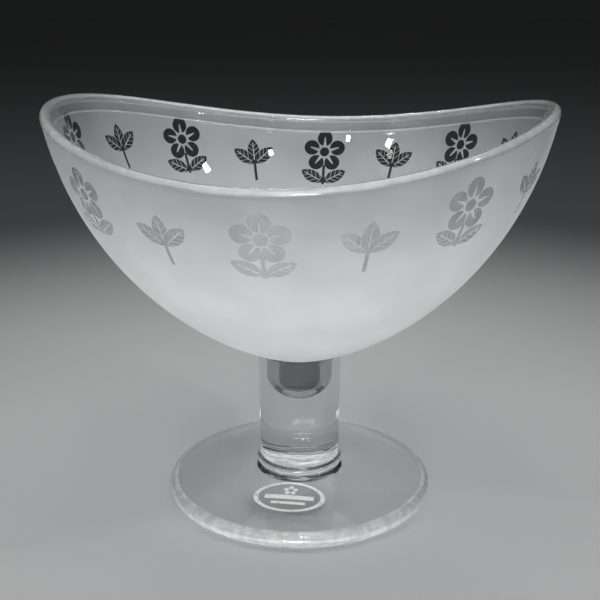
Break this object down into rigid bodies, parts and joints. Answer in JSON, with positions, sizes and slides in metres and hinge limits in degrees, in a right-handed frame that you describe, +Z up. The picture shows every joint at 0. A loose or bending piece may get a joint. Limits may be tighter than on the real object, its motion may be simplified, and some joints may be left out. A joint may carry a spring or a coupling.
{
  "type": "footed bowl",
  "caption": "Round glass bowl with a boat-shaped wavy rim on a short solid stem and a disc foot, for serving desserts, berries or sweets.",
  "frame": {"origin": "centre of the bounding box's base: on the stem's axis, on the table under the foot", "axes": "+Z up along the stem's axis; X along the bowl's length, through the two raised ends of the rim; Y across it, through the two low sides, with the label on the -Y side"},
  "size_m": [0.1412, 0.1352, 0.1183],
  "materials": {
    "frosted_glass": "colourless glass, satin etched outside on the bowl, clear and fire polished on the lip, stem and foot",
    "label_film": "thin clear oval film with a white border, no print"
  },
  "bodies": {
    "root": {"glass_bowl": "frosted_glass", "foot_label": "label_film"}
  },
  "joints": []
}
